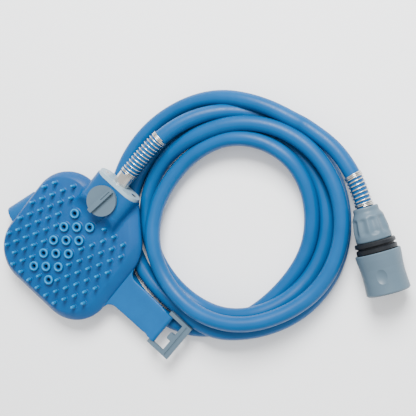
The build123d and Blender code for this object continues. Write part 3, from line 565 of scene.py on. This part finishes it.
def pad_skin(mesh):
    """Skirt, rounded shoulder and domed face, open below the nozzle rings."""
    angles = [2 * pi * i / PAD_AROUND for i in range(PAD_AROUND)]
    loops = []

    def add(share, height_of, inset=0.0):
        points = []
        for angle in angles:
            x, y = pad_point(angle, share)
            x, y = x - inset * cos(angle), y - inset * sin(angle)
            points.append((x, y, height_of(x, y)))
        loops.append(loop_of(mesh, points))

    add(0.0, lambda x, y: CAVITY_TOP, CAVITY)
    add(0.0, lambda x, y: RIM_BOTTOM + 0.4, CAVITY)
    for inset in (CAVITY - 0.4, 4.0, 0.8):
        add(0.0, lambda x, y: RIM_BOTTOM, inset)
    add(0.0, lambda x, y: RIM_BOTTOM + 0.25, 0.25)
    add(0.0, lambda x, y: RIM_BOTTOM + 0.8)
    add(0.0, lambda x, y: RIM_TOP - 0.6)
    for step in range(SHOULDER_STEPS + 1):
        turn = pi / 2 * step / SHOULDER_STEPS
        share = 1 - cos(turn) ** SHOULDER_POWER
        rise = sin(turn) ** SHOULDER_POWER
        add(share, lambda x, y, rise=rise: RIM_TOP + (skin(x, y) - RIM_TOP) * rise)
    edge = [vertex.co.copy() for vertex in loops[-1]]
    centre = metres(*FACE_CENTRE, 0)
    for step in range(1, FACE_LOOPS):
        share = 1 - step / FACE_LOOPS
        points = []
        for corner in edge:
            x = (centre.x + (corner.x - centre.x) * share - BUTTON_CENTRE.x) / MM
            y = (centre.y + (corner.y - centre.y) * share - BUTTON_CENTRE.y) / MM
            points.append((x, y, skin(x, y)))
        loops.append(loop_of(mesh, points))
    bridge(mesh, loops)
    fan(mesh, loops[-1], (*FACE_CENTRE, dome(*FACE_CENTRE)))
    fan(mesh, loops[0], (*PAD_CENTRE, CAVITY_TOP))
    open_under_rings(mesh)


def open_under_rings(mesh):
    """Takes away the face where a ring's wall hides the cut."""
    centres = [metres(x, y, 0) for x, y in ring_places()]
    limit = (RING_OUTER - RING_LIP) * MM
    gone = []
    for face in mesh.faces:
        if min(vertex.co.z for vertex in face.verts) < (FACE_Z - 8.0) * MM + 0.001:
            continue
        middle = face.calc_center_median()
        for centre in centres:
            if hypot(middle.x - centre.x, middle.y - centre.y) < 2 * limit:
                if all(hypot(v.co.x - centre.x, v.co.y - centre.y) < limit for v in face.verts):
                    gone.append(face)
                break
    bmesh.ops.delete(mesh, geom=gone, context="FACES")


def make_pad():
    """Silicone scrubbing pad with its nubs and nozzle rings."""
    mesh = bmesh.new()
    mesh.verts.layers.float.new("painted_light_mask")
    pad_skin(mesh)
    # the nubs and rings get painted light above their roots
    for x, y in nub_places():
        lean = (NUB_LEAN * scattered(x, y), NUB_LEAN * scattered(y, x, 1.0))
        base = skin(x, y)
        spin(mesh, (x, y), nub_profile(base), 16, lean, painted_light_from=base + 0.5)
    for x, y in ring_places():
        base = skin(x, y)
        spin(mesh, (x, y), ring_profile(base), 32, closed=False, painted_light_from=base + 0.8)
    pad = mesh_piece("silicone_pad_painted_light", mesh, PAD_FINISH_WITH_PAINTED_LIGHT, "sprayer")
    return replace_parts(pad, "scrub_pad")


# ---------------------------------------------------------------- straps
def strap_half_width(x):
    """Half the buckle strap's width along its length."""
    shoulder = STRAP_REACH - 4 * LOOP_RADIUS
    if x < shoulder:
        left = max(0.0, min(STRAP_FLARE, RIM_EDGE + STRAP_FLARE - x))
        flare = STRAP_FLARE - sqrt(STRAP_FLARE ** 2 - left ** 2)
        return (STRAP_ROOT + (STRAP_END - STRAP_ROOT) * max(0.0, x) / shoulder) / 2 + flare
    narrowed = eased(x, shoulder, shoulder + 1.6 * LOOP_RADIUS)
    return (STRAP_END + (STRAP_LOOP_WIDTH - STRAP_END) * narrowed) / 2


def strap_side():
    """Side outline of the buckle strap: along the top, round its eye and back below."""
    half = STRAP_THICKNESS / 2
    blend_start = STRAP_REACH - 3.2 * LOOP_RADIUS
    blend_end = STRAP_REACH - 0.5 * LOOP_RADIUS
    top = []
    for step in range(40):
        x = STRAP_START + (blend_start - STRAP_START) * step / 40
        top.append((x, half))
    height_end = sqrt(LOOP_RADIUS ** 2 - (STRAP_REACH - blend_end) ** 2)
    for step in range(10):
        x = blend_start + (blend_end - blend_start) * step / 10
        top.append((x, half + (height_end - half) * eased(x, blend_start, blend_end)))
    start = atan2(height_end, blend_end - STRAP_REACH)
    eye = []
    for step in range(25):
        turn = start - 2 * start * step / 24
        eye.append((STRAP_REACH + LOOP_RADIUS * cos(turn), LOOP_RADIUS * sin(turn)))
    bottom = [(x, -z) for x, z in reversed(top)]
    return top + eye + bottom


def strap_sag(x):
    """Slight dip of the strap between the pad and the buckle, none at its ends."""
    share = (x - STRAP_START) / (STRAP_REACH - STRAP_START)
    return -STRAP_SAG * sin(pi * min(1.0, max(0.0, share))) ** 2


def make_buckle_strap():
    """Soft strap from the pad to the buckle, its rounded edges and moulded eye."""
    mesh = bmesh.new()
    outline = strap_side()
    rows = [-1.0, -0.985, -0.955, -0.9, -0.6, -0.3, 0.0, 0.3, 0.6, 0.9, 0.955, 0.985, 1.0]
    loops = []
    for v in rows:
        near_edge = max(0.0, (abs(v) - 0.9) / 0.1)
        fullness = sqrt(max(0.0, 1 - near_edge ** 2)) * 0.75 + 0.25
        points = []
        for x, z in outline:
            over_bar = min(1.0, max(0.0, (STRAP_REACH - LOOP_RADIUS * 1.5 - x) / LOOP_RADIUS))
            rounding = 1 + (fullness - 1) * over_bar
            crown = 0.12 * (1 - v * v) * over_bar
            height = STRAP_Z + (z - (crown if z > 0 else 0.0)) * rounding + strap_sag(x)
            points.append((x, STRAP_Y + strap_half_width(x) * v, height))
        loops.append(loop_of(mesh, points))
    bridge(mesh, loops)
    count = 24
    bores = []
    half = len(outline)
    for v, loop in ((-1.0, loops[0]), (1.0, loops[-1])):
        y = STRAP_Y + STRAP_LOOP_WIDTH / 2 * v
        hole = [(STRAP_REACH + BAR_RADIUS * cos(2 * pi * i / count), y,
                 STRAP_Z + BAR_RADIUS * sin(2 * pi * i / count)) for i in range(count)]
        bores.append(loop_of(mesh, hole))
        edges = [mesh.edges.get((loop[i], loop[(i + 1) % half])) for i in range(half)]
        edges += [mesh.edges.get((bores[-1][i], bores[-1][(i + 1) % count]))
                  or mesh.edges.new((bores[-1][i], bores[-1][(i + 1) % count])) for i in range(count)]
        bmesh.ops.triangle_fill(mesh, use_beauty=True, edges=edges)
    bridge(mesh, bores)
    strap = mesh_piece("silicone_buckle_strap", mesh, FINISHES["blue_silicone"], "sprayer")
    sharpen(strap, 55.0)
    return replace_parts(strap, "buckle_strap")


def sharpen(piece, angle):
    """Keeps edges steeper than this angle crisp."""
    for edge in piece.data.edges:
        edge.use_edge_sharp = False
    piece.data.set_sharp_from_angle(angle=radians(angle))


def tail_path():
    """Distance out from the fold's centre and height along the tail strap's middle."""
    fold = (STRAP_Z - STRAP_THICKNESS / 2) / 2
    centre = STRAP_THICKNESS / 2 + fold
    path = [(-TAIL_ROOT + TAIL_ROOT * i / 12, centre + fold) for i in range(12)]
    for step in range(17):
        turn = pi / 2 - pi * step / 16
        path.append((fold * cos(turn), centre + fold * sin(turn)))
    path += [(-TAIL_RETURN * i / 21, centre - fold) for i in range(1, 22)]
    return path, fold


def make_tail_strap():
    """Second strap, folded back under the pad, with its adjusting slots."""
    mesh = bmesh.new()
    path, fold = tail_path()
    turn = radians(TAIL_TURN)
    out = (cos(turn), sin(turn))
    side = (-sin(turn), cos(turn))
    reach_out = fold + STRAP_THICKNESS / 2
    centre = (TAIL_TIP[0] - out[0] * reach_out, TAIL_TIP[1] - out[1] * reach_out)
    across = 27
    grid = []
    for index, (away, height) in enumerate(path):
        narrow = 1.0
        left = len(path) - 1 - index
        if left < 5:
            narrow = 1 - 0.16 * (1 - left / 5) ** 2
        row = []
        for j in range(across + 1):
            offset = (j / across - 0.5) * TAIL_WIDTH * narrow
            x = centre[0] + out[0] * away + side[0] * offset
            y = centre[1] + out[1] * away + side[1] * offset
            row.append(mesh.verts.new(metres(x, y, height)))
        grid.append(row)
    for i in range(len(grid) - 1):
        away = (path[i][0] + path[i + 1][0]) / 2
        low = path[i][1] < fold
        for j in range(across):
            offset = ((j + 0.5) / across - 0.5) * TAIL_WIDTH
            slotted = low and abs(offset) < TAIL_SLOT[1] / 2 and any(
                abs(-away - distance) < TAIL_SLOT[0] / 2 for distance in TAIL_SLOTS)
            if not slotted:
                mesh.faces.new((grid[i][j], grid[i][j + 1], grid[i + 1][j + 1], grid[i + 1][j]))
    strap = mesh_piece("silicone_tail_strap", mesh, FINISHES["blue_silicone"], "sprayer")
    thick = strap.modifiers.new("thickness", "SOLIDIFY")
    thick.thickness = STRAP_THICKNESS * MM
    thick.offset = 0.0
    soft = strap.modifiers.new("soft edges", "BEVEL")
    soft.width = 0.5 * MM
    soft.segments = 3
    soft.limit_method = "ANGLE"
    soft.angle_limit = radians(50)
    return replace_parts(strap, "tail_strap")


# ---------------------------------------------------------------- hose
def coil_at(angle):
    """Radius and height of the coil at an angle, smooth through its stations."""
    i = 0
    while i < len(COIL) - 2 and COIL[i + 1][0] > angle:
        i += 1
    span = COIL[i][0] - COIL[i + 1][0]
    share = (COIL[i][0] - angle) / span
    smooth = []
    for axis in (1, 2):
        def slope(k):
            before, after = max(0, k - 1), min(len(COIL) - 1, k + 1)
            return (COIL[after][axis] - COIL[before][axis]) / (COIL[before][0] - COIL[after][0])
        start, end = COIL[i][axis], COIL[i + 1][axis]
        value = (2 * share ** 3 - 3 * share ** 2 + 1) * start
        value += (share ** 3 - 2 * share ** 2 + share) * slope(i) * span
        value += (3 * share ** 2 - 2 * share ** 3) * end
        value += (share ** 3 - share ** 2) * slope(i + 1) * span
        smooth.append(value)
    return smooth


def coil_points():
    """Control points round the coil, pushed out so that the spline has the stations' radii."""
    turned = COIL[0][0] - COIL[-1][0]
    count = round(turned / COIL_STEP)
    step = turned / count
    push = 1 / (0.75 + 0.25 * cos(radians(COIL_STEP)))
    points = []
    for i in range(count + 1):
        angle = COIL[0][0] - i * step
        radius, height = coil_at(angle)
        x = COIL_CENTRE[0] + radius * push * cos(radians(angle))
        y = COIL_CENTRE[1] + radius * push * sin(radians(angle))
        points.append((x, y, max(height, HOSE_DIAMETER / 2)))
    return points


def spline_object(name, points, kind="NURBS", bevel=0.0, sides=6):
    """Curve object of one open spline."""
    data = bpy.data.curves.new(name, "CURVE")
    data.dimensions = "3D"
    data.resolution_u = 6
    spline = data.splines.new(kind)
    spline.points.add(len(points) - 1)
    for target, point in zip(spline.points, points):
        target.co = (*point, 1.0)
    if kind == "NURBS":
        spline.order_u = 3
        spline.use_endpoint_u = True
    data.bevel_depth = bevel
    data.bevel_resolution = sides
    data.use_fill_caps = bevel > 0
    return link(name, data)


def route_points(points):
    """The spline's own line, as points close together."""
    guide = spline_object("guide", points)
    bpy.context.view_layer.update()
    evaluated = guide.evaluated_get(bpy.context.evaluated_depsgraph_get())
    mesh = bpy.data.meshes.new_from_object(evaluated)
    line = [vertex.co.copy() for vertex in mesh.vertices]
    bpy.data.meshes.remove(mesh)
    bpy.data.objects.remove(guide)
    return line


def make_spring(name, node, line, start, end, body):
    """Anti-kink spring wound on the hose, both its ends close wound."""
    radius = HOSE_DIAMETER / 2 + SPRING_WIRE / 2 + SPRING_GAP
    lengths = [0.0]
    for before, after in zip(line, line[1:]):
        lengths.append(lengths[-1] + (after - before).length / MM)
    close_pitch = SPRING_WIRE * 1.06
    close_length = SPRING_CLOSE_TURNS * close_pitch
    turns, away, path = 0.0, start + SPRING_WIRE / 2, []
    last = end - SPRING_WIRE / 2
    normal = Vector((0, 0, 1))
    segment = 0
    while away <= last:
        while segment < len(lengths) - 2 and lengths[segment + 1] < away:
            segment += 1
        share = (away - lengths[segment]) / (lengths[segment + 1] - lengths[segment])
        middle = line[segment].lerp(line[segment + 1], share)
        along = (line[segment + 1] - line[segment]).normalized()
        normal = (normal - along * normal.dot(along)).normalized()
        sideways = along.cross(normal)
        turn = 2 * pi * turns
        path.append(middle + (normal * cos(turn) + sideways * sin(turn)) * radius * MM)
        near_end = min(away - start, last - away)
        opened = eased(near_end, close_length, close_length + SPRING_PITCH)
        advance = close_pitch + (SPRING_PITCH - close_pitch) * opened
        away += advance / SPRING_STEPS
        turns += 1 / SPRING_STEPS
    spring = spline_object(name, path, bevel=SPRING_WIRE / 2 * MM, sides=3)
    spring.data.resolution_u = 2
    spring.data.materials.append(FINISHES["steel"])
    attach(spring, body)
    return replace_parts(spring, node)


def make_hose():
    """The whole hose in one spline, with its two springs and the connector on its far end."""
    points = [metres(*p) for p in LEAD_ROUTE + coil_points() + TAIL_ROUTE]
    line = route_points(points)
    hose = spline_object("blue_hose", points, bevel=HOSE_DIAMETER / 2 * MM, sides=7)
    hose.data.materials.append(FINISHES["hose_vinyl"])
    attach(hose, "sprayer")
    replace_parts(hose, "hose_lead", "hose_coil", "hose_tail")
    head = make_spring("spring_at_head", "head_spring", line, *HEAD_SPRING, "sprayer")
    nut = make_nut()
    backwards = line[::-1]
    mouth = metres(*NUT_MOUTH)
    run = 0.0
    nearest, at_mouth = HOSE_LENGTH, 0.0
    for before, after in zip(backwards, backwards[1:]):
        run += (after - before).length / MM
        if (after - mouth).length < nearest:
            nearest, at_mouth = (after - mouth).length, run
    tail = make_spring("spring_at_connector", "tail_spring", backwards,
                       at_mouth + TAIL_SPRING[0], at_mouth + TAIL_SPRING[1], "sprayer")


# ---------------------------------------------------------------- connector
def nut_radius(along, turn):
    """Outer radius of the nut: a bell with deep round-ended flutes and a plain band."""
    bell = NUT_SMALL + (NUT_BELL - NUT_SMALL) * eased(along, 3.0, NUT_SHOULDER)
    bell += (NUT_LARGE - NUT_BELL) * eased(along, NUT_SHOULDER - 2.5, 19.0)
    fluted = eased(along, 6.5, 10.5) * (1 - eased(along, 18.5, 22.5))
    groove = (0.5 + 0.5 * cos(NUT_FLUTES * turn)) ** 0.7
    lip = 0.5 * (1 - eased(along, 0.0, 0.8)) + 0.5 * eased(along, NUT_LENGTH - 0.7, NUT_LENGTH)
    return bell - NUT_FLUTE_DEPTH * fluted * groove - lip


def make_nut():
    """Fluted nut that clamps the hose into the connector."""
    mesh = bmesh.new()
    axis = Vector((*CONNECTOR_AXIS, 0.0)).normalized()
    side = Vector((0, 0, 1)).cross(axis)
    mouth = Vector(NUT_MOUTH)
    steps, around = 56, 200
    loops = []

    def add(along, radius_at):
        points = []
        for i in range(around):
            turn = 2 * pi * i / around
            radius = radius_at(turn)
            point = mouth + axis * along + (side * cos(turn) + Vector((0, 0, 1)) * sin(turn)) * radius
            points.append(tuple(point))
        loops.append(loop_of(mesh, points))

    add(NUT_LIP_DEPTH, lambda turn: NUT_MOUTH_RADIUS)
    add(0.5, lambda turn: NUT_MOUTH_RADIUS)
    add(0.12, lambda turn: NUT_MOUTH_RADIUS + 0.35)
    for step in range(steps + 1):
        along = NUT_LENGTH * step / steps
        add(along, lambda turn, along=along: nut_radius(along, turn))
    add(NUT_LENGTH, lambda turn: NUT_BORE)
    add(NUT_SHOULDER, lambda turn: NUT_BORE)
    bridge(mesh, loops + loops[:1])
    nut = mesh_piece("fluted_nut", mesh, FINISHES["grey_plastic"], "nut")
    sharpen(nut, 50.0)
    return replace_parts(nut, "hose_nut")


# ---------------------------------------------------------------- studio
def make_floor():
    """Plain pale studio floor."""
    mesh = bmesh.new()
    bmesh.ops.create_grid(mesh, x_segments=1, y_segments=1, size=6.0)
    data = bpy.data.meshes.new("floor")
    mesh.to_mesh(data)
    mesh.free()
    data.materials.append(new_material("floor_paper", (0.93, 0.94, 0.95), 0.9, 0.1)[0])
    link("floor", data)


def add_light(name, towards, distance, size, power):
    """Square soft light at a direction and distance in metres from the target, facing it."""
    data = bpy.data.lights.new(name, "AREA")
    data.size = size
    data.energy = power
    light = link(name, data)
    light.location = metres(*VIEW_TARGET) + Vector(towards).normalized() * distance
    light.rotation_mode = "QUATERNION"
    light.rotation_quaternion = (-Vector(towards)).to_track_quat("-Z", "Y")


def make_lights():
    """Large soft key from the top of the picture, with a fill and an even surround."""
    back, up = Vector(VIEW_BACK).normalized(), Vector(VIEW_UP).normalized()
    right = up.cross(back)
    add_light("key", back + up * 0.75 - right * 0.1, 1.3, 0.6, 46.0)
    add_light("fill", back * 0.9 - up * 0.6 + right * 0.9, 1.8, 1.4, 6.0)
    world = bpy.data.worlds.new("surround")
    bpy.context.scene.world = world
    world.use_nodes = True
    world.node_tree.nodes["Background"].inputs["Color"].default_value = (1.0, 1.0, 1.0, 1)
    world.node_tree.nodes["Background"].inputs["Strength"].default_value = 1.1


def make_camera():
    """Camera where the photograph was taken from."""
    back = Vector(VIEW_BACK).normalized()
    right = Vector(VIEW_UP).cross(back).normalized()
    up = back.cross(right)
    camera = link("camera", bpy.data.cameras.new("camera"))
    camera.data.angle = radians(VIEW_ANGLE)
    turned = Matrix((right, up, back)).transposed().to_4x4()
    camera.matrix_world = Matrix.Translation(metres(*VIEW_TARGET) + back * VIEW_DISTANCE * MM) @ turned
    bpy.context.scene.camera = camera


finish_cad_nodes()
make_pad()
make_buckle_strap()
make_tail_strap()
make_hose()
make_floor()
make_lights()
make_camera()
